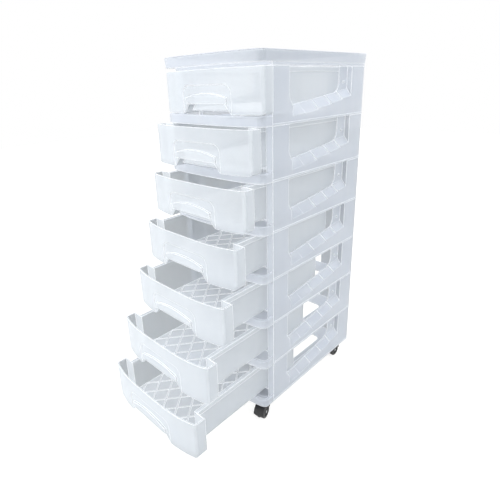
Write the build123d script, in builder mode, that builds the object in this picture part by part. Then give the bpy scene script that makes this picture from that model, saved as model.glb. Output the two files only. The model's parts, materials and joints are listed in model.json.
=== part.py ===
from build123d import *
from math import atan2, degrees, radians, sqrt, tan
import os

os.makedirs("parts", exist_ok=True)

# A drawer tower on castors.  Millimetres, +Z up, -Y is the front.
# Heights inside a tier are counted from the tier's own lower seam, and depths from the
# front face of the side columns.

# tower
width = 288.0  # over the side columns
tower_depth = 350.0  # column front to back face
tier_pitch = 110.0  # seam to seam
castor_height = 58.0  # floor to the lowest seam
skin = 2.5  # wall of the moulded pieces
pulls = (219.0, 179.0, 129.0, 89.0, 59.0, 37.0, 0.0)  # how far each drawer stands open, lowest first
half = width / 2
over = 1.0  # cutters run this far past what they cut

# drawer front, bowed, with its corners ahead of the columns
front_side = 2.0  # and it overhangs the columns on each side
front_half = half + front_side
nose = 26.0  # its corners stand this far ahead of the columns
bow = 15.0  # and its middle this much further
bow_knee = 0.72  # every bowed edge turns most at this share of its half width
bow_knee_rise = 0.67  # and has this share of its rise there
grip_proud = 3.0
field_sink = 1.2  # depth of the shallow field around the grip

# lid
lid_height = 22.0
lid_draft = 4.5  # degrees the lid skirt leans outward
collar_height = 6.0
lid_edge = 1.5
lid_flare = lid_height * tan(radians(lid_draft))

# the origin is the middle of the footprint with the drawers as they stand
front_reach = nose + bow + grip_proud + pulls[0]
rear_reach = tower_depth + lid_flare
column_y = (front_reach - rear_reach) / 2


def plan(y, z):
    """Level plane with its origin y behind the column front, z above the lowest seam."""
    return Plane(origin=(0, column_y + y, castor_height + z))


def elevation(y, z=0.0):
    """Upright plane seen from the front.  Its own z axis points forward."""
    return Plane(origin=(0, column_y + y, castor_height + z), x_dir=(1, 0, 0), z_dir=(0, -1, 0))


def profile(x, z=0.0):
    """Upright plane seen from the right.  Its own z axis points right."""
    return Plane(origin=(x, column_y, castor_height + z), x_dir=(0, 1, 0), z_dir=(1, 0, 0))


def block(y_front, y_rear, x_left, x_right):
    """Rectangle in a plan sketch between two depths and two sides."""
    with BuildSketch() as outline:
        with Locations(((x_left + x_right) / 2, (y_front + y_rear) / 2)):
            Rectangle(x_right - x_left, y_rear - y_front)
    return outline.sketch


def bowed(span, front, rear, rise, corner=0.0):
    """Plan outline: bowed front edge, straight sides and rear, rounded front corners."""
    knee = bow_knee * span
    with BuildSketch() as outline:
        with BuildLine():
            Spline(
                (-span, front),
                (-knee, front - bow_knee_rise * rise),
                (0, front - rise),
                (knee, front - bow_knee_rise * rise),
                (span, front),
            )
            Polyline((span, front), (span, rear), (-span, rear), (-span, front))
        make_face()
        if corner:
            fillet(outline.vertices().group_by(Axis.Y)[0], corner)
    return outline.sketch


# shelf plate
shelf_low = 2.5
shelf_thick = 2.5
shelf_top = shelf_low + shelf_thick

# ---------------------------------------------------------------- side of a tier
strip_width = 18.0  # front face strip of a column
strip_return = 12.0
column_front = 53.0  # depth of the front column beside the window
column_foot = 65.0  # and below the window sill
column_rear = 292.0  # where the rear column starts
recess = 13.0  # the window stands this far in from the outer face
back_return = 100.0  # the sides wrap this far around the back
ledge_top = 26.5  # runner ledge that carries the drawer
ledge_thick = 2.5
ledge_reach = 32.0
band_height = 4.0  # proud band along each seam
band_proud = 0.5
scallop_lean = 0.45  # the scallop seams lean forward as they rise
scallop_climb = 0.1  # and the sill climbs to the rear
lean_scale = sqrt(1 + scallop_lean**2)
column_knee = 34.0  # the front column narrows from this height
column_waist = 52.0  # to this one
web_front_reach = 37.0  # the sunk web rounds the lower corners of the window
web_front_low = 33.5
web_front_high = 70.0
web_rear_reach = 52.0
web_rear_throat = 35.0
web_rear_low = 54.0
web_rear_high = 76.0
web_lap = 10.0  # the web runs this far down behind the sill
peg_radius = 3.0
peg_depth = 275.0
peg_level = 76.0

# start depth at the seam, shoulder height and sill height at that start
scallops = ((55.0, 12.0, 32.0), (116.0, 16.0, 38.0), (164.0, 24.0, 43.0), (219.0, 32.0, 49.0),
            (269.0, 40.0, 56.0))
scallop_end = 320.0

with BuildPart() as side_right:
    ends = [start for start, shoulder, sill in scallops[1:]] + [scallop_end]
    for (start, shoulder, sill), end in zip(scallops, ends):
        lean_plane = Plane(origin=(0, column_y + start, castor_height), x_dir=(1, 0, 0),
                           z_dir=(0, -1, -scallop_lean))
        wall_line = ((half, -2 * skin), (half, shoulder), (half - recess, sill),
                     (half - recess - skin, sill), (half - recess - skin, sill - skin),
                     (half - skin, shoulder - skin), (half - skin, -2 * skin))
        with BuildSketch(lean_plane):
            with BuildLine():
                Polyline([(x, z * lean_scale) for x, z in wall_line], close=True)
            make_face()
        run = end - start
        extrude(amount=run * sqrt(1 + scallop_climb**2), dir=(0, 1, scallop_climb))
    # square off the ends and the foot of the leaning wall
    with BuildSketch(plan(0, -4 * skin)):
        add(block(-width, column_foot - skin, 0, width))
        add(block(column_rear, tower_depth + width, 0, width))
    extrude(amount=tier_pitch, mode=Mode.SUBTRACT)
    with BuildSketch(plan(0, 0)):
        add(block(-width, tower_depth + width, 0, width))
    extrude(amount=-width, mode=Mode.SUBTRACT)
    # runner ledge behind the leaning wall, then trimmed by the wall's outer surface
    with BuildSketch(plan(0, ledge_top)):
        add(block(column_foot - skin, column_rear, half - ledge_reach, half - skin / 2))
    extrude(amount=-ledge_thick)
    for (start, shoulder, sill), end in zip(scallops, ends):
        lean_plane = Plane(origin=(0, column_y + start, castor_height), x_dir=(1, 0, 0),
                           z_dir=(0, -1, -scallop_lean))
        outside = ((half + skin, shoulder), (half, shoulder), (half - recess, sill),
                   (half - recess, sill + skin), (half + skin, sill + skin))
        with BuildSketch(lean_plane):
            with BuildLine():
                Polyline([(x, z * lean_scale) for x, z in outside], close=True)
            make_face()
        run = end - start
        extrude(amount=run * sqrt(1 + scallop_climb**2), dir=(0, 1, scallop_climb), mode=Mode.SUBTRACT)
    # outer face of the front column, wider below the window
    with BuildSketch(profile(half)):
        with BuildLine():
            Polyline((0, 0), (column_foot, 0), (column_foot, column_knee), (column_front, column_waist),
                     (column_front, tier_pitch), (0, tier_pitch), close=True)
        make_face()
    extrude(amount=-skin)
    # outer face of the rear column
    with BuildSketch(profile(half)):
        with Locations(((column_rear + tower_depth) / 2, tier_pitch / 2)):
            Rectangle(tower_depth - column_rear, tier_pitch)
    extrude(amount=-skin)
    # upright walls seen from above: front strip, jambs and back return
    with BuildSketch(plan(0, shelf_top)):
        add(block(0, skin, half - strip_width, half))
        add(block(0, strip_return, half - strip_width, half - strip_width + skin))
        add(block(column_rear, column_rear + skin, half - recess - skin, half))
    extrude(amount=tier_pitch - shelf_top)
    with BuildSketch(plan(0, 0)):
        add(block(tower_depth - skin, tower_depth, half - back_return, half))
    extrude(amount=tier_pitch)
    with BuildSketch(plan(0, column_knee)):
        add(block(column_front - skin, column_front, half - recess - skin, half))
    extrude(amount=tier_pitch - column_knee)
    with BuildSketch(plan(0, shelf_top)):
        add(block(column_foot - skin, column_foot, half - recess - skin, half))
    extrude(amount=column_knee - shelf_top)
    # sunk web with the rounded corners of the window
    with BuildSketch(profile(half - recess)):
        with BuildLine():
            Polyline((column_front + web_front_reach, web_front_low),
                     (column_front + web_front_reach, ledge_top - skin),
                     (column_front - skin, ledge_top - skin),
                     (column_front - skin, web_front_high), (column_front, web_front_high))
            TangentArc((column_front, web_front_high), (column_front + web_front_reach, web_front_low),
                       tangent=(0, -1))
        make_face()
        with BuildLine():
            Polyline((column_rear - web_rear_reach, web_rear_low),
                     (column_rear - web_rear_reach, web_rear_low - web_lap),
                     (column_rear, web_rear_low - web_lap), (column_rear, tier_pitch),
                     (column_rear - web_rear_throat, tier_pitch),
                     (column_rear - web_rear_throat, web_rear_high))
            TangentArc((column_rear - web_rear_throat, web_rear_high),
                       (column_rear - web_rear_reach, web_rear_low), tangent=(0, -1))
        make_face()
    extrude(amount=-skin)
    # runner ledge inside the two columns
    with BuildSketch(plan(0, ledge_top)):
        add(block(skin / 2, column_foot - skin / 2, half - ledge_reach, half - skin / 2))
        add(block(column_rear - skin / 2, tower_depth - skin / 2, half - ledge_reach, half - skin / 2))
    extrude(amount=-ledge_thick)
    # the faces stand back a little above the seam band
    with BuildSketch(plan(0, band_height)):
        add(block(-skin, tower_depth + skin, half - band_proud, half + skin))
        add(block(-skin, band_proud, 0, half + skin))
        add(block(tower_depth - band_proud, tower_depth + skin, 0, half + skin))
    extrude(amount=tier_pitch, mode=Mode.SUBTRACT)
    # snap peg
    with BuildSketch(profile(half - recess - skin / 2)):
        with Locations((peg_depth, peg_level)):
            Circle(peg_radius)
    extrude(amount=skin + peg_radius / 2)

# ---------------------------------------------------------------- shelf of a tier
lip_front = 30.0
lip_bow = 13.0
lip_height = 20.0
lip_wall = 5.0
lip_corner = 15.0
lip_edge = 2.0
hole_half = 84.0
hole_front = 38.0
hole_rear = 292.0
hole_corner = 15.0

with BuildPart() as shelf:
    with BuildSketch(plan(0, 0)):
        add(bowed(half, -lip_front, 0, lip_bow, lip_corner))
    extrude(amount=lip_height)
    fillet(shelf.edges().group_by(Axis.Z)[-1].filter_by(lambda e: e.center().Y < column_y - over), lip_edge)
    with BuildSketch(plan(0, shelf_top)):
        add(bowed(half - lip_wall, -lip_front + lip_wall, over, lip_bow, lip_corner - lip_wall))
    extrude(amount=lip_height, mode=Mode.SUBTRACT)
    with BuildSketch(plan(0, 0)):
        add(bowed(half - skin, -lip_front + skin, over, lip_bow, lip_corner - skin))
    extrude(amount=shelf_low, mode=Mode.SUBTRACT)
    with BuildSketch(plan(0, shelf_low)):
        add(block(-skin, tower_depth - skin, skin - half, half - skin))
    extrude(amount=shelf_thick)
    with BuildSketch(plan(0, shelf_low)) as hole:
        with Locations((0, (hole_front + hole_rear) / 2)):
            Rectangle(2 * hole_half, hole_rear - hole_front)
        fillet(hole.vertices(), hole_corner)
    extrude(amount=shelf_thick, mode=Mode.SUBTRACT)

# ---------------------------------------------------------------- drawer
running_gap = 0.5
stop_gap = 0.4
box_low = ledge_top + running_gap
front_drop = 5.0  # the front hangs below the box
front_low = box_low - front_drop
drawer_clear = 1.0  # under the shelf above
drawer_top = tier_pitch - drawer_clear
box_side = 26.0  # the box stands this far in from the outer faces
box_half = half - box_side
box_rear = 334.0
rim_out = 6.0
rim_drop = 10.0
rim_thick = 2.0
corner_radius = 8.0
box_corner = 8.0
arch_low_half = 70.0
arch_top_half = 54.0
arch_top = 42.0
arch_radius = 9.0
pocket_rear = -19.0
pocket_top = 60.0
pocket_corner = 6.0
finger_half = arch_top_half + 1.0
finger_corner = 5.0
grip_half = 61.0
grip_top = 63.0
grip_shoulder = 54.0
field_half = 74.0
field_top = 79.0
field_corner = 18.0
front_corner = 8.0
lattice_x = 41.5
lattice_y = 52.0
lattice_line = 3.0
lattice_start = (-12.0, 54.0)  # a crossing of the lattice lines
lattice_lines = 9  # lines on each side of it, each way
lattice_height = 1.0
reach = nose + bow + grip_proud

with BuildSketch() as front_outline:
    with BuildLine():
        Polyline((-front_half, drawer_top), (-front_half, front_low), (-arch_low_half, front_low),
                 (-arch_top_half, arch_top), (arch_top_half, arch_top), (arch_low_half, front_low),
                 (front_half, front_low), (front_half, drawer_top), close=True)
    make_face()
    fillet(front_outline.vertices().filter_by(lambda v: abs(v.X) > half and v.Y < arch_top), corner_radius)
    fillet(front_outline.vertices().filter_by(lambda v: abs(v.X) < half - corner_radius), arch_radius)

with BuildPart() as front_room:
    with BuildSketch(elevation(-stop_gap - skin)) as room_front:
        with BuildLine():
            Polyline((skin - front_half, tier_pitch), (skin - front_half, box_low + skin),
                     (front_half - skin, box_low + skin), (front_half - skin, tier_pitch), close=True)
        make_face()
        fillet(room_front.vertices().group_by(Axis.Y)[0], corner_radius - skin)
    extrude(amount=reach)
    with BuildSketch(plan(0, 0)):
        add(bowed(front_half - skin, skin - nose, 0, bow))
    extrude(amount=2 * tier_pitch, mode=Mode.INTERSECT)
    with BuildSketch(elevation(pocket_rear)) as pocket_block:
        with BuildLine():
            Polyline((-arch_low_half - 2 * skin, 0), (-arch_low_half - 2 * skin, front_low + skin),
                     (-arch_top_half - 2 * skin, arch_top + skin), (-arch_top_half - 2 * skin, pocket_top),
                     (arch_top_half + 2 * skin, pocket_top), (arch_top_half + 2 * skin, arch_top + skin),
                     (arch_low_half + 2 * skin, front_low + skin), (arch_low_half + 2 * skin, 0), close=True)
        make_face()
        fillet(pocket_block.vertices().group_by(Axis.Y)[-1], pocket_corner)
    extrude(amount=reach, mode=Mode.SUBTRACT)

with BuildPart() as finger_room:
    with BuildSketch(elevation(pocket_rear - skin)) as finger_front:
        with Locations((0, pocket_top / 2 - skin)):
            Rectangle(2 * finger_half, pocket_top)
        fillet(finger_front.vertices().group_by(Axis.Y)[-1], finger_corner)
    extrude(amount=reach)
    with BuildSketch(plan(0, -tier_pitch)):
        add(bowed(front_half - skin, skin - nose, 0, bow))
    extrude(amount=2 * tier_pitch, mode=Mode.INTERSECT)

with BuildPart() as grip:
    with BuildSketch(elevation(-nose)):
        with BuildLine():
            Polyline((-grip_half, grip_shoulder), (-grip_half, arch_top), (grip_half, arch_top),
                     (grip_half, grip_shoulder))
            ThreePointArc((grip_half, grip_shoulder), (0, grip_top), (-grip_half, grip_shoulder))
        make_face()
    extrude(amount=reach)
    with BuildSketch(plan(0, 0)):
        add(bowed(front_half, -nose - grip_proud, 0, bow))
    extrude(amount=tier_pitch, mode=Mode.INTERSECT)

with BuildPart() as front_core:
    with BuildSketch(elevation(-stop_gap)):
        add(front_outline.sketch)
    extrude(amount=reach)
    with BuildSketch(plan(0, 0)):
        add(bowed(front_half - field_sink, field_sink - nose, 0, bow, front_corner - field_sink))
    extrude(amount=tier_pitch, mode=Mode.INTERSECT)

with BuildPart() as drawer:
    with BuildSketch(elevation(-stop_gap)):
        add(front_outline.sketch)
    extrude(amount=reach)
    with BuildSketch(plan(0, 0)):
        add(bowed(front_half, -nose, 0, bow, front_corner))
    extrude(amount=tier_pitch, mode=Mode.INTERSECT)
    # shallow field around the grip
    with BuildSketch(elevation(-nose)) as field:
        with BuildLine():
            Polyline((-field_half, 0), (skin - field_half, field_top), (field_half - skin, field_top),
                     (field_half, 0), close=True)
        make_face()
        fillet(field.vertices().group_by(Axis.Y)[-1], field_corner)
    extrude(amount=reach, mode=Mode.SUBTRACT)
    add(front_core.part)
    add(grip.part)
    # rim around the box, hollow below
    with BuildSketch(plan(0, drawer_top)):
        add(block(-stop_gap - skin, box_rear + rim_out, -box_half - rim_out, box_half + rim_out))
    extrude(amount=-rim_drop)
    with BuildSketch(plan(0, drawer_top - rim_thick)):
        add(block(-stop_gap, box_rear + rim_out - rim_thick, -box_half - rim_out + rim_thick,
                  box_half + rim_out - rim_thick))
    extrude(amount=-rim_drop, mode=Mode.SUBTRACT)
    # box
    with BuildSketch(plan(0, box_low)):
        add(block(pocket_rear - skin, box_rear, -box_half, box_half))
    extrude(amount=drawer_top - box_low)
    with BuildSketch(plan(0, box_low + skin)) as box_room:
        with Locations((0, (pocket_rear + box_rear - skin) / 2)):
            Rectangle(2 * (box_half - skin), box_rear - skin - pocket_rear)
        fillet(box_room.vertices().group_by(Axis.Y)[-1], box_corner)
    extrude(amount=drawer_top, mode=Mode.SUBTRACT)
    add(front_room.part, mode=Mode.SUBTRACT)
    add(finger_room.part, mode=Mode.SUBTRACT)
    # raised diamond lattice on the floor
    slope = degrees(atan2(lattice_y, lattice_x))
    with BuildSketch(plan(0, box_low + skin / 2)):
        for turn in (slope, -slope):
            with Locations([(lattice_start[0] + lattice_x * step, lattice_start[1])
                            for step in range(-lattice_lines, lattice_lines + 1)]):
                Rectangle(3 * tower_depth, lattice_line, rotation=turn)
        with Locations((0, (pocket_rear + box_rear) / 2)):
            Rectangle(2 * (box_half - skin), box_rear - pocket_rear - skin, mode=Mode.INTERSECT)
    extrude(amount=skin / 2 + lattice_height)

# ---------------------------------------------------------------- lid
tower_top = len(pulls) * tier_pitch
with BuildPart() as lid:
    with BuildSketch(plan(0, tower_top + collar_height)):
        add(bowed(half, -lip_front, tower_depth, lip_bow, lip_corner))
    with BuildSketch(plan(0, tower_top + collar_height + lid_height)):
        add(bowed(half + lid_flare, -lip_front - lid_flare, rear_reach, lip_bow, lip_corner + lid_flare))
    loft()
    fillet(lid.edges().group_by(Axis.Z)[-1], lid_edge)
    with BuildSketch(plan(0, tower_top + collar_height)):
        add(bowed(half - skin, -lip_front + skin, tower_depth - skin, lip_bow, lip_corner - skin))
    extrude(amount=lid_height - skin, mode=Mode.SUBTRACT)
    with BuildSketch(plan(0, tower_top)):
        add(block(0, tower_depth - band_proud, band_proud - half, half - band_proud))
        add(block(skin, tower_depth - 2 * skin, 2 * skin - half, half - 2 * skin), mode=Mode.SUBTRACT)
    extrude(amount=collar_height + skin)

# ---------------------------------------------------------------- castor
wheel_radius = 17.5
wheel_width = 9.5
trail = 17.5
web_thick = 6.0
side_gap = 0.5
stem_radius = 4.0
stem_length = 17.0
axle_radius = 3.0
fit = 0.05
fender_gap = 1.5
fender_thick = 2.0
boss_length = 24.0  # block of the hood around the stem
boss_shift = 2.0
boss_side = 3.0  # it is this much narrower than the hood, each side
boss_drop = 26.0
web_drop = 8.0  # the hood's middle web ends this far below the axle
tyre_round = 2.5
hub_rim = 6.0
hub_boss = 3.0
hub_sink = 2.0
plate_radius = 15.0
plate_thick = 3.0
plate_top = castor_height + shelf_low
hood_top = plate_top - plate_thick - side_gap
hood_width = web_thick + 2 * (side_gap + wheel_width)
fender_radius = wheel_radius + fender_gap + fender_thick
# a castor is drawn with its swivel on the z axis, its wheels trailing along +X and z 0 on the floor
trail_view = Plane(origin=(trail, 0, wheel_radius), x_dir=(1, 0, 0), z_dir=(0, -1, 0))

with BuildPart() as castor_plate:
    with BuildSketch(Plane.XY.offset(plate_top)):
        Circle(plate_radius)
    extrude(amount=-plate_thick)
    with BuildSketch(Plane.XY.offset(plate_top - plate_thick)):
        Circle(stem_radius)
    extrude(amount=-stem_length)

with BuildPart() as castor_hood:
    with BuildSketch(trail_view):
        Circle(fender_radius)
        with Locations((0, -fender_radius)):
            Rectangle(2 * fender_radius, 2 * fender_radius, mode=Mode.SUBTRACT)
    extrude(amount=hood_width / 2, both=True)
    with BuildSketch(trail_view):
        Circle(wheel_radius + fender_gap)
    extrude(amount=hood_width / 2 + skin, both=True, mode=Mode.SUBTRACT)
    with BuildSketch(Plane.XY.offset(hood_top)):
        with Locations((boss_shift, 0)):
            Rectangle(boss_length, hood_width - 2 * boss_side)
    extrude(amount=-boss_drop)
    with BuildSketch(trail_view):
        Circle(wheel_radius + fender_gap)
    extrude(amount=hood_width / 2 + skin, both=True, mode=Mode.SUBTRACT)
    with BuildSketch(trail_view):
        Circle(wheel_radius + fender_gap + fender_thick / 2)
        with Locations((0, -wheel_radius - web_drop)):
            Rectangle(3 * wheel_radius, 2 * wheel_radius, mode=Mode.SUBTRACT)
    extrude(amount=web_thick / 2, both=True)
    with BuildSketch(trail_view):
        Circle(axle_radius + fit)
    extrude(amount=hood_width, both=True, mode=Mode.SUBTRACT)
    with BuildSketch(Plane.XY.offset(hood_top)):
        Circle(stem_radius + fit)
    extrude(amount=-stem_length, mode=Mode.SUBTRACT)

with BuildPart() as castor_axle:
    with BuildSketch(trail_view):
        Circle(axle_radius)
    extrude(amount=hood_width / 2, both=True)

with BuildPart() as castor_wheel:
    with BuildSketch(trail_view.offset(web_thick / 2 + side_gap)):
        Circle(wheel_radius)
    extrude(amount=wheel_width)
    fillet(castor_wheel.edges().group_by(Axis.Y)[0], tyre_round)
    with BuildSketch(trail_view.offset(web_thick / 2 + side_gap + wheel_width)):
        Circle(wheel_radius - hub_rim)
        Circle(axle_radius + hub_boss, mode=Mode.SUBTRACT)
    extrude(amount=-hub_sink, mode=Mode.SUBTRACT)
    with BuildSketch(trail_view):
        Circle(axle_radius + fit)
    extrude(amount=hood_width, both=True, mode=Mode.SUBTRACT)

# ---------------------------------------------------------------- pieces
castor_side = 36.0  # swivel this far in from the outer face
castor_front = 8.0  # and this far behind the column front
castor_rear = tower_depth - 42.0  # or ahead of the back
castor_spots = {
    "front_left": (castor_side - half, castor_front, -80.0),
    "front_right": (half - castor_side, castor_front, -75.0),
    "rear_left": (castor_side - half, castor_rear, -20.0),
    "rear_right": (half - castor_side, castor_rear, 90.0),
}


def save(piece, name):
    """Give a piece its name and write it out."""
    piece.label = name
    export_step(piece, f"parts/{name}.step")


for tier, pull in enumerate(pulls):
    rise = tier * tier_pitch
    with BuildPart() as shelf_copy:
        with Locations((0, 0, rise)):
            add(shelf.part)
    save(shelf_copy.part, f"shelf_{tier + 1}")
    with BuildPart() as side_copy:
        with Locations((0, 0, rise)):
            add(side_right.part)
    save(side_copy.part, f"side_right_{tier + 1}")
    with BuildPart() as mirror_copy:
        mirror(side_copy.part, about=Plane.YZ)
    save(mirror_copy.part, f"side_left_{tier + 1}")
    with BuildPart() as drawer_copy:
        with Locations((0, -pull, rise)):
            add(drawer.part)
    save(drawer_copy.part, f"drawer_{tier + 1}")

save(lid.part, "lid")

for corner, (x, y, turn) in castor_spots.items():
    spot = Location((x, column_y + y, 0), (0, 0, turn))
    for piece, name in ((castor_plate, "plate"), (castor_hood, "hood"), (castor_axle, "axle"),
                        (castor_wheel, "wheel_a")):
        with BuildPart() as castor_copy:
            with Locations(spot):
                add(piece.part)
        save(castor_copy.part, f"castor_{corner}_{name}")
    with BuildPart() as other_wheel:
        mirror(castor_wheel.part, about=Plane.XZ)
    with BuildPart() as castor_copy:
        with Locations(spot):
            add(other_wheel.part)
    save(castor_copy.part, f"castor_{corner}_wheel_b")
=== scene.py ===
import bpy
import json
from math import cos, sin, radians
from mathutils import Matrix, Vector

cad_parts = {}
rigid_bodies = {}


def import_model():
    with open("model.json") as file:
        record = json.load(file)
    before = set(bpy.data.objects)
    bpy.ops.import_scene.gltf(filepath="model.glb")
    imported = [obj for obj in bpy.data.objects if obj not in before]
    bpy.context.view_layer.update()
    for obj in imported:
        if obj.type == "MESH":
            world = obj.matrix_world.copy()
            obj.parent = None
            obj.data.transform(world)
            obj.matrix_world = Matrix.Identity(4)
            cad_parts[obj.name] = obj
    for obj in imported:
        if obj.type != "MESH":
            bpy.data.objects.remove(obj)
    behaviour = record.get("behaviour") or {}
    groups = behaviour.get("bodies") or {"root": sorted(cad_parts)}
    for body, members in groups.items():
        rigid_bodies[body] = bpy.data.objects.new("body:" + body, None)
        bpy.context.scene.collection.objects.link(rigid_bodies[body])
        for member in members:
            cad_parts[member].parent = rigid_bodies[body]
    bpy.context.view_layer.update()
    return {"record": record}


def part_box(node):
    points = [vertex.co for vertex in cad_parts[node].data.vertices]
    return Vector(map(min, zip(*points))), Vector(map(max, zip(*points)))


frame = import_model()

LEFT = -0.144                         # left face of the side columns
SIDE_LOW, SIDE_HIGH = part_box("side_right_1")
FRONT = SIDE_LOW[1]                   # depth of the column fronts
SEAM = SIDE_LOW[2]                    # height of the lowest seam

WHITE = (1, 1, 1, 1)
FLOAT, COLOUR, VECTOR = "NodeSocketFloat", "NodeSocketColor", "NodeSocketVector"
NODE_STEP = 200                       # spacing of the nodes in the shader editor


# ------------------------------------------------------------------ node helpers
def node(tree, kind, **settings):
    """Add a node to the right of the last one and set its properties by name."""
    made = tree.nodes.new(kind)
    made.location = (NODE_STEP * len(tree.nodes), 0)
    for key, value in settings.items():
        setattr(made, key, value)
    return made


def set_values(made, **values):
    """Set a node's inputs by name, with _ for a space."""
    for key, value in values.items():
        made.inputs[key.replace("_", " ")].default_value = value
    return made


def new_group(name, inputs, outputs):
    """Shader node group with named inputs (name, socket, default) and outputs (name, socket)."""
    group = bpy.data.node_groups.new(name, "ShaderNodeTree")
    for label, socket, value in inputs:
        made = group.interface.new_socket(label, in_out="INPUT", socket_type=socket)
        if value is not None:
            made.default_value = value
    for label, socket in outputs:
        group.interface.new_socket(label, in_out="OUTPUT", socket_type=socket)
    return group, node(group, "NodeGroupInput").outputs, node(group, "NodeGroupOutput").inputs


def use_group(tree, group, **values):
    """Place a group in a material and set its inputs."""
    return set_values(node(tree, "ShaderNodeGroup", node_tree=group), **values)


def maths(tree, operation, *terms, clamp=False):
    """Result of a Math node on outputs of other nodes or plain numbers."""
    made = node(tree, "ShaderNodeMath", operation=operation, use_clamp=clamp)
    for slot, term in zip(made.inputs, terms):
        if isinstance(term, float):
            slot.default_value = term
        else:
            tree.links.new(term, slot)
    return made.outputs[0]


def map_range(tree, value, **limits):
    """Result of a Map Range node with the given limits."""
    made = set_values(node(tree, "ShaderNodeMapRange"), **limits)
    tree.links.new(value, made.inputs["Value"])
    return made.outputs["Result"]


def noise(tree, where, **values):
    """Noise texture read at a place."""
    made = set_values(node(tree, "ShaderNodeTexNoise"), **values)
    tree.links.new(where, made.inputs["Vector"])
    return made


def object_place(tree, **mapping):
    """Coordinates in the piece's own space, stretched or turned by a mapping if one is given."""
    where = node(tree, "ShaderNodeTexCoord").outputs["Object"]
    if not mapping:
        return where
    made = set_values(node(tree, "ShaderNodeMapping"), **mapping)
    tree.links.new(where, made.inputs["Vector"])
    return made.outputs["Vector"]


def colour_mix(tree, factor):
    """Colour mix driven by a mask, as its two colour inputs and its result."""
    made = node(tree, "ShaderNodeMix", data_type="RGBA")
    tree.links.new(factor, made.inputs[0])
    return made.inputs[6], made.inputs[7], made.outputs[2]


# ------------------------------------------------------------------ shared effects
def moulded_grain():
    """Fine etched grain and slow waviness of a moulded wall, as a surface normal."""
    group, source, sink = new_group(
        "Moulded grain",
        [("Grain Size", FLOAT, 1400.0), ("Grain Depth", FLOAT, 0.25), ("Wave Depth", FLOAT, 0.12),
         ("Normal", VECTOR, None)],
        [("Normal", VECTOR)])
    link = group.links.new
    where = object_place(group)
    grain = noise(group, where, Detail=3.0)
    link(source["Grain Size"], grain.inputs["Scale"])
    wave = noise(group, where, Scale=22.0, Detail=2.0)
    slow = set_values(node(group, "ShaderNodeBump"), Distance=0.004)
    link(wave.outputs["Fac"], slow.inputs["Height"])
    link(source["Wave Depth"], slow.inputs["Strength"])
    link(source["Normal"], slow.inputs["Normal"])
    fine = set_values(node(group, "ShaderNodeBump"), Distance=0.0004)
    link(grain.outputs["Fac"], fine.inputs["Height"])
    link(source["Grain Depth"], fine.inputs["Strength"])
    link(slow.outputs["Normal"], fine.inputs["Normal"])
    link(fine.outputs["Normal"], sink["Normal"])
    return group


def bright_edges():
    """Rounded edge normal, and a mask of the edges, where the clear plastic gets its painted highlight
    and the castors their rubs.
    """
    group, source, sink = new_group(
        "Bright edges", [("Radius", FLOAT, 0.0012), ("Gain", FLOAT, 4.0)],
        [("Mask", FLOAT), ("Normal", VECTOR)])
    link = group.links.new
    bevel = node(group, "ShaderNodeBevel", samples=6)
    link(source["Radius"], bevel.inputs["Radius"])
    flat = node(group, "ShaderNodeNewGeometry")
    same = node(group, "ShaderNodeVectorMath", operation="DOT_PRODUCT")
    link(bevel.outputs["Normal"], same.inputs[0])
    link(flat.outputs["Normal"], same.inputs[1])
    turn = maths(group, "SUBTRACT", 1.0, same.outputs["Value"])
    link(maths(group, "MULTIPLY", turn, source["Gain"], clamp=True), sink["Mask"])
    link(bevel.outputs["Normal"], sink["Normal"])
    return group


def clouded_tint():
    """Milky clouding: a slow drift between two tints with flow streaks up the moulding."""
    group, source, sink = new_group(
        "Clouded tint",
        [("Light Tint", COLOUR, (0.9, 0.93, 0.96, 1)), ("Deep Tint", COLOUR, (0.8, 0.84, 0.9, 1)),
         ("Cloud Size", FLOAT, 9.0), ("Streaks", FLOAT, 0.3)],
        [("Color", COLOUR)])
    link = group.links.new
    cloud = noise(group, object_place(group), Detail=4.0)
    link(source["Cloud Size"], cloud.inputs["Scale"])
    streak = noise(group, object_place(group, Scale=(60.0, 60.0, 6.0)), Scale=1.0)
    both = node(group, "ShaderNodeMix", data_type="FLOAT")
    link(source["Streaks"], both.inputs[0])
    link(cloud.outputs["Fac"], both.inputs[2])
    link(streak.outputs["Fac"], both.inputs[3])
    spread = map_range(group, both.outputs[0], From_Min=0.3, From_Max=0.7)
    light, deep, result = colour_mix(group, spread)
    link(source["Light Tint"], light)
    link(source["Deep Tint"], deep)
    link(result, sink["Color"])
    return group


def light_wear():
    """Sparse rub marks and dust as a mask from 0 to 1."""
    group, source, sink = new_group(
        "Light wear", [("Amount", FLOAT, 0.3), ("Mark Size", FLOAT, 90.0)], [("Mask", FLOAT)])
    link = group.links.new
    where = object_place(group, Rotation=(0.3, 0.5, 0.9), Scale=(1.0, 5.0, 1.6))
    marks = noise(group, where, Detail=6.0, Roughness=0.7)
    link(source["Mark Size"], marks.inputs["Scale"])
    keep = map_range(group, marks.outputs["Fac"], From_Min=0.55, From_Max=0.75)
    link(maths(group, "MULTIPLY", keep, source["Amount"]), sink["Mask"])
    return group


GRAIN = moulded_grain()
EDGES = bright_edges()
TINT = clouded_tint()
WEAR = light_wear()


# ------------------------------------------------------------------ materials
def start_material(name):
    """New material with its node tree and its shader."""
    material = bpy.data.materials.new(name)
    material.use_nodes = True
    return material, material.node_tree, material.node_tree.nodes["Principled BSDF"]


def worn_roughness(tree, shader, wear, clean, worn):
    """Roughness that goes from clean to worn with the wear mask."""
    rough = map_range(tree, wear.outputs["Mask"], To_Min=clean, To_Max=worn)
    tree.links.new(rough, shader.inputs["Roughness"])


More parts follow.
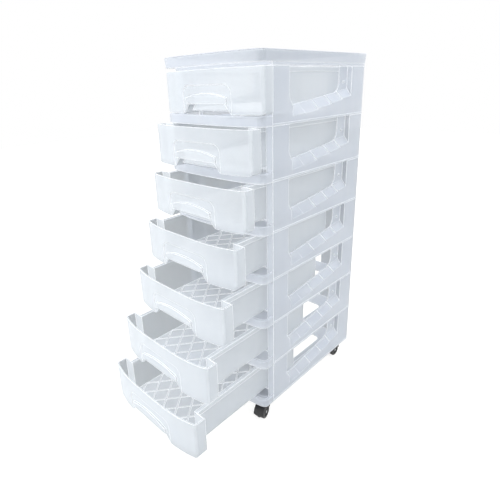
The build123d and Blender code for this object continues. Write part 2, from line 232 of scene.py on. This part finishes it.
def frosted_plastic(name, light, deep, painted_highlight_tint):
    """Milky see-through polypropylene with a painted highlight on its cut edges: a whiter colour and a
    glow.
    """
    clear = 0.66                      # part of the view that a wall seen face on lets through
    bounce_cover = 0.16               # part of its cover that shadow and bounced rays meet
    # strength of the painted edge highlight, an emission glow
    painted_edge_glow = 0.4
    material, tree, shader = start_material(name)
    link = tree.links.new
    tint = use_group(tree, TINT, Light_Tint=light, Deep_Tint=deep, Cloud_Size=8.0, Streaks=0.35)
    edges = use_group(tree, EDGES, Radius=0.0022, Gain=7.0)
    grain = use_group(tree, GRAIN, Grain_Size=1500.0, Grain_Depth=0.22, Wave_Depth=0.10)
    wear = use_group(tree, WEAR, Amount=0.35, Mark_Size=70.0)
    edge_mask = edges.outputs["Mask"]
    link(edges.outputs["Normal"], grain.inputs["Normal"])
    link(grain.outputs["Normal"], shader.inputs["Normal"])
    # painted highlight: along the edges the colour turns near white
    wall, edge, result = colour_mix(tree, edge_mask)
    link(tint.outputs["Color"], wall)
    edge.default_value = painted_highlight_tint
    link(result, shader.inputs["Base Color"])
    worn_roughness(tree, shader, wear, 0.36, 0.61)
    # seen edge-on or along its edges the wall turns milky
    facing = set_values(node(tree, "ShaderNodeLayerWeight"), Blend=0.35)
    thick = maths(tree, "MAXIMUM", facing.outputs["Facing"], edge_mask)
    cover = map_range(tree, thick, To_Min=1.0 - clear, To_Max=1.0)
    # most of the light that falls on a wall gets through it and lights the inside
    path = node(tree, "ShaderNodeLightPath")
    lit = maths(tree, "MAXIMUM", path.outputs["Is Shadow Ray"], path.outputs["Is Diffuse Ray"])
    pass_on = map_range(tree, lit, To_Min=1.0, To_Max=bounce_cover)
    link(maths(tree, "MULTIPLY", cover, pass_on), shader.inputs["Alpha"])
    # painted highlight: the cut edges glow by emission, standing in for the light that travels inside
    # the wall
    link(maths(tree, "MULTIPLY", edge_mask, painted_edge_glow), shader.inputs["Emission Strength"])
    set_values(shader, Emission_Color=(0.95, 0.98, 1.0, 1), IOR=1.49, Specular_IOR_Level=0.45)
    return material


def black_plastic(name):
    """Satin black nylon of the castors with dusty rubs on its edges."""
    material, tree, shader = start_material(name)
    link = tree.links.new
    tint = use_group(tree, TINT, Light_Tint=(0.012, 0.012, 0.014, 1), Deep_Tint=(0.022, 0.022, 0.024, 1),
                     Cloud_Size=60.0, Streaks=0.2)
    edges = use_group(tree, EDGES, Radius=0.001, Gain=2.0)
    grain = use_group(tree, GRAIN, Grain_Size=2600.0, Grain_Depth=0.4, Wave_Depth=0.05)
    wear = use_group(tree, WEAR, Amount=0.6, Mark_Size=260.0)
    link(edges.outputs["Normal"], grain.inputs["Normal"])
    link(grain.outputs["Normal"], shader.inputs["Normal"])
    rub = maths(tree, "MULTIPLY", edges.outputs["Mask"], wear.outputs["Mask"])
    clean, dusty, result = colour_mix(tree, rub)
    link(tint.outputs["Color"], clean)
    dusty.default_value = (0.10, 0.10, 0.10, 1)
    link(result, shader.inputs["Base Color"])
    worn_roughness(tree, shader, wear, 0.42, 0.7)
    return material


def plated_steel(name):
    """Zinc plated steel of the castor stems and axles."""
    material, tree, shader = start_material(name)
    link = tree.links.new
    tint = use_group(tree, TINT, Light_Tint=(0.62, 0.63, 0.66, 1), Deep_Tint=(0.45, 0.46, 0.48, 1),
                     Cloud_Size=120.0, Streaks=0.5)
    grain = use_group(tree, GRAIN, Grain_Size=900.0, Grain_Depth=0.3, Wave_Depth=0.05)
    wear = use_group(tree, WEAR, Amount=0.8, Mark_Size=300.0)
    link(tint.outputs["Color"], shader.inputs["Base Color"])
    link(grain.outputs["Normal"], shader.inputs["Normal"])
    worn_roughness(tree, shader, wear, 0.25, 0.55)
    set_values(shader, Metallic=1.0)
    return material


FINISHES = {
    "frame_plastic": frosted_plastic("frame plastic", light=(0.85, 0.89, 0.95, 1),
                                     deep=(0.78, 0.825, 0.91, 1), painted_highlight_tint=(0.98, 0.99, 1.0, 1)),
    "drawer_plastic": frosted_plastic("drawer plastic", light=(0.89, 0.925, 0.96, 1),
                                      deep=(0.83, 0.875, 0.925, 1), painted_highlight_tint=(0.99, 0.995, 1.0, 1)),
    "castor_plastic": black_plastic("castor plastic"),
    "castor_steel": plated_steel("castor steel"),
}
for piece in frame["record"]["subparts"]:
    thing = bpy.data.objects[piece["node"]]
    thing.data.materials.clear()
    thing.data.materials.append(FINISHES[piece["material_slot"]])


# ------------------------------------------------------------------ stage
def backdrop_rays(tree, path, camera):
    """1 for the camera rays given and for what gloss and glass show of the backdrop."""
    mirrored = maths(tree, "MAXIMUM", path.outputs["Is Glossy Ray"], path.outputs["Is Transmission Ray"])
    return maths(tree, "MAXIMUM", camera, mirrored)


def make_floor():
    """Wide floor, white to the camera, that keeps the soft shadow under the castors."""
    reach = 6
    lift = 0.8                        # glow that takes the lit floor up to white
    mesh = bpy.data.meshes.new("floor")
    mesh.from_pydata([(-reach, -reach, 0), (reach, -reach, 0), (reach, reach, 0), (-reach, reach, 0)],
                     [], [(0, 1, 2, 3)])
    floor = bpy.data.objects.new("floor", mesh)
    bpy.context.scene.collection.objects.link(floor)
    material, tree, shader = start_material("white floor")
    # white where it is seen directly; behind the milky walls its own grey shows
    path = node(tree, "ShaderNodeLightPath")
    direct = maths(tree, "LESS_THAN", path.outputs["Transparent Depth"], 0.5)
    camera = maths(tree, "MULTIPLY", path.outputs["Is Camera Ray"], direct)
    glow = maths(tree, "MULTIPLY", backdrop_rays(tree, path, camera), lift)
    tree.links.new(glow, shader.inputs["Emission Strength"])
    set_values(shader, Base_Color=(0.36, 0.355, 0.33, 1), Roughness=0.9, Specular_IOR_Level=0.1,
               Emission_Color=WHITE)
    mesh.materials.append(material)


def make_sky():
    """White backdrop for the camera and an even soft light for the plastic."""
    world = bpy.data.worlds.new("studio")
    bpy.context.scene.world = world
    world.use_nodes = True
    tree = world.node_tree
    tree.nodes.clear()
    link = tree.links.new
    seen = set_values(node(tree, "ShaderNodeBackground"), Color=WHITE, Strength=1.0)
    light = set_values(node(tree, "ShaderNodeBackground"), Color=(0.93, 0.96, 1.0, 1), Strength=1.12)
    path = node(tree, "ShaderNodeLightPath")
    mix = node(tree, "ShaderNodeMixShader")
    link(backdrop_rays(tree, path, path.outputs["Is Camera Ray"]), mix.inputs[0])
    link(light.outputs[0], mix.inputs[1])
    link(seen.outputs[0], mix.inputs[2])
    link(mix.outputs[0], node(tree, "ShaderNodeOutputWorld").inputs[0])


def area_lamp(name, place, aim, size, power):
    """White soft box that looks at a point."""
    lamp = bpy.data.lights.new(name, "AREA")
    lamp.shape = "RECTANGLE"
    lamp.size, lamp.size_y = size
    lamp.energy = power
    thing = bpy.data.objects.new(name, lamp)
    bpy.context.scene.collection.objects.link(thing)
    thing.location = place
    thing.rotation_euler = (Vector(aim) - Vector(place)).to_track_quat("-Z", "Y").to_euler()


def make_camera():
    """Camera that sees the tower from its front right corner, a little below its top."""
    yaw, pitch, roll = radians(44.331), radians(19.453), radians(-1.878)
    ahead = Vector((-sin(yaw) * cos(pitch), cos(yaw) * cos(pitch), -sin(pitch)))
    across = Vector((cos(yaw), sin(yaw), 0))
    above = across.cross(ahead)
    right = cos(roll) * across + sin(roll) * above
    up = -sin(roll) * across + cos(roll) * above
    data = bpy.data.cameras.new("camera")
    data.sensor_width = 36
    data.lens = 29.2455
    data.shift_x = 0.0207
    data.shift_y = -0.0459
    data.clip_end = 50
    camera = bpy.data.objects.new("camera", data)
    bpy.context.scene.collection.objects.link(camera)
    place = Vector((LEFT + 0.79655, FRONT - 0.62071, SEAM + 0.73966))
    turn = Matrix((right, up, -ahead)).transposed().to_4x4()
    camera.matrix_world = Matrix.Translation(place) @ turn
    bpy.context.scene.camera = camera


make_floor()
make_sky()
make_camera()
area_lamp("front soft box", place=(-0.9, -2.7, 1.0), aim=(0, 0, 0.38), size=(1.8, 1.6), power=22)
area_lamp("top soft box", place=(0.2, 0.2, 2.8), aim=(0, 0, 0.4), size=(2.0, 2.0), power=3)
bpy.context.scene.view_settings.view_transform = "Standard"
